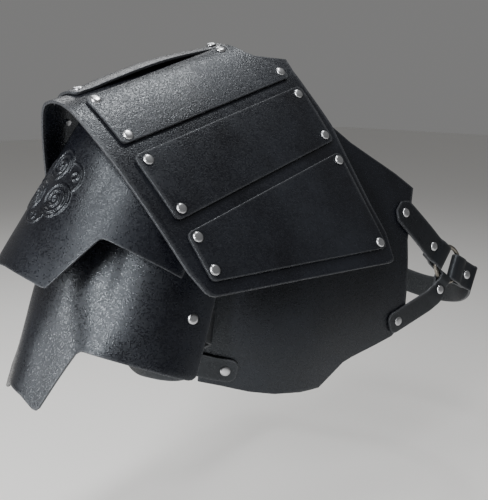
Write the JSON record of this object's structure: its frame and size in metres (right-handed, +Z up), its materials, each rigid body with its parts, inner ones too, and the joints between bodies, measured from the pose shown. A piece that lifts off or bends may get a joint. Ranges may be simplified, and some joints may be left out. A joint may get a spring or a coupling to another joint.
{
  "type": "leather pauldron",
  "caption": "Left shoulder armour of bent black leather sheets: ridged shell with riveted strips, arm plates, chest and back panels, rings and a strap harness.",
  "frame": {"origin": "underside of the shoulder shell at its ridge, 108 mm in from the arm edge, where it sits on the shoulder", "axes": "+X outward to the wearer's left arm, +Y to the wearer's back, +Z up"},
  "size_m": [0.5001, 0.2918, 0.3096],
  "materials": {
    "black_leather": "pebbled satin",
    "strip_leather": "pebbled satin",
    "strap_leather": "smooth satin",
    "polished_rivet": "polished",
    "ring_metal": "dark polished"
  },
  "bodies": {
    "root": {"arm_strap": "strap_leather", "back_panel": "black_leather", "chest_strap": "strap_leather", "front_panel": "black_leather", "lower_lame": "black_leather", "ring_back": "ring_metal", "ring_front": "ring_metal", "ring_strap_back_lower": "strap_leather", "ring_strap_back_upper": "strap_leather", "ring_strap_front_lower": "strap_leather", "ring_strap_front_upper": "strap_leather", "rivet_arm_strap_1": "polished_rivet", "rivet_chest_strap": "polished_rivet", "rivet_ring_strap_back_lower_loop": "polished_rivet", "rivet_ring_strap_back_lower_panel": "polished_rivet", "rivet_ring_strap_back_upper_loop": "polished_rivet", "rivet_ring_strap_back_upper_panel": "polished_rivet", "rivet_ring_strap_front_lower_panel": "polished_rivet", "rivet_ring_strap_front_upper_panel": "polished_rivet", "rivet_strip_back_1_1": "polished_rivet", "rivet_strip_back_1_2": "polished_rivet", "rivet_strip_back_1_3": "polished_rivet", "rivet_strip_back_1_4": "polished_rivet", "rivet_strip_back_2_1": "polished_rivet", "rivet_strip_back_2_2": "polished_rivet", "rivet_strip_back_2_3": "polished_rivet", "rivet_strip_back_2_4": "polished_rivet", "rivet_strip_back_3_1": "polished_rivet", "rivet_strip_back_3_2": "polished_rivet", "rivet_strip_back_3_3": "polished_rivet", "rivet_strip_back_3_4": "polished_rivet", "rivet_strip_front_1_1": "polished_rivet", "rivet_strip_front_1_2": "polished_rivet", "rivet_strip_front_1_3": "polished_rivet", "rivet_strip_front_1_4": "polished_rivet", "rivet_strip_front_2_1": "polished_rivet", "rivet_strip_front_2_2": "polished_rivet", "rivet_strip_front_2_3": "polished_rivet", "rivet_strip_front_2_4": "polished_rivet", "rivet_strip_front_3_1": "polished_rivet", "rivet_strip_front_3_2": "polished_rivet", "rivet_strip_front_3_3": "polished_rivet", "rivet_strip_front_3_4": "polished_rivet", "rivet_strip_top_1": "polished_rivet", "rivet_strip_top_2": "polished_rivet", "rivet_strip_top_3": "polished_rivet", "rivet_strip_top_4": "polished_rivet", "rivet_underarm_strap_1": "polished_rivet", "rivet_underarm_strap_2": "polished_rivet", "shell": "black_leather", "strip_back_1": "strip_leather", "strip_back_2": "strip_leather", "strip_back_3": "strip_leather", "strip_front_1": "strip_leather", "strip_front_2": "strip_leather", "strip_front_3": "strip_leather", "strip_top": "strip_leather", "underarm_strap": "strap_leather", "upper_lame": "black_leather"}
  },
  "joints": []
}
